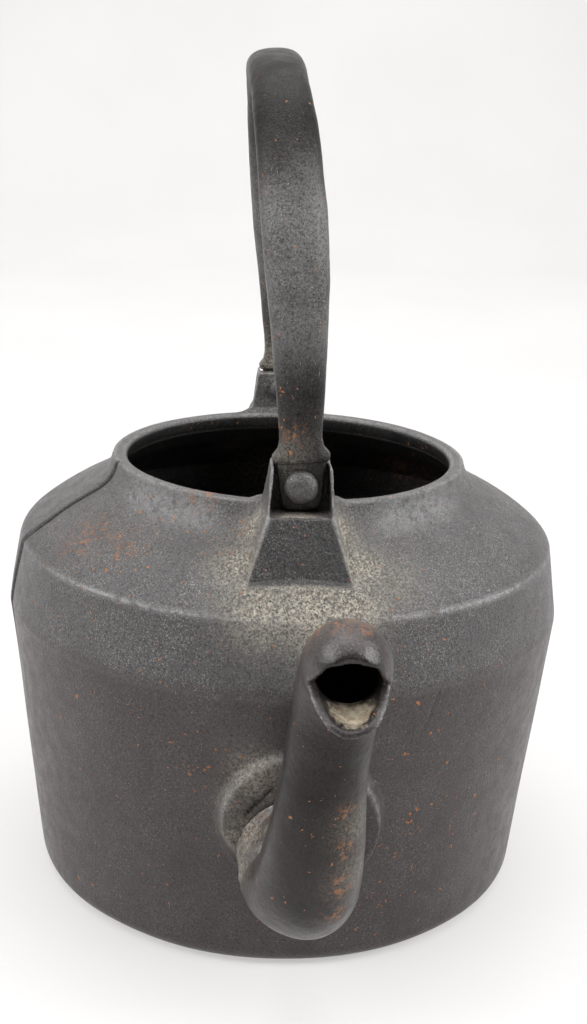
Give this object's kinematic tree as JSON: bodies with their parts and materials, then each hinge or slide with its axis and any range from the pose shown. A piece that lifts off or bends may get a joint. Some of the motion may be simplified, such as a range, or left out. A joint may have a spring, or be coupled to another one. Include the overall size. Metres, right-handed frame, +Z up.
{
  "type": "cast iron kettle",
  "caption": "Round-bodied cast iron kettle with an open mouth, a swan-neck pouring spout and a riveted arched handle that rocks between its lugs.",
  "frame": {"origin": "centre of the flat base, on the surface the kettle stands on", "axes": "+Z up along the axis of the pot, +X the way the spout points, the handle's arch lies in the XZ plane"},
  "size_m": [0.2789, 0.2098, 0.3087],
  "materials": {
    "kettle_body": "as cast, blackened by use, patches of rust and scale",
    "spout": "as cast, worn smooth, patches of rust",
    "handle": "worn smooth by hands, satin",
    "rivet_front": "worn iron",
    "rivet_rear": "worn iron"
  },
  "bodies": {
    "pot": {"kettle_body": "kettle_body", "spout": "spout", "rivet_front": "rivet_front", "rivet_rear": "rivet_rear"},
    "bail": {"handle": "handle"}
  },
  "joints": [
    {"name": "handle_rock", "type": "hinge", "parent": "pot", "child": "bail", "pos_m": [0, 0, 0.1715], "axis": [-1, 0, 0], "range_deg": [0, 8.6]}
  ]
}
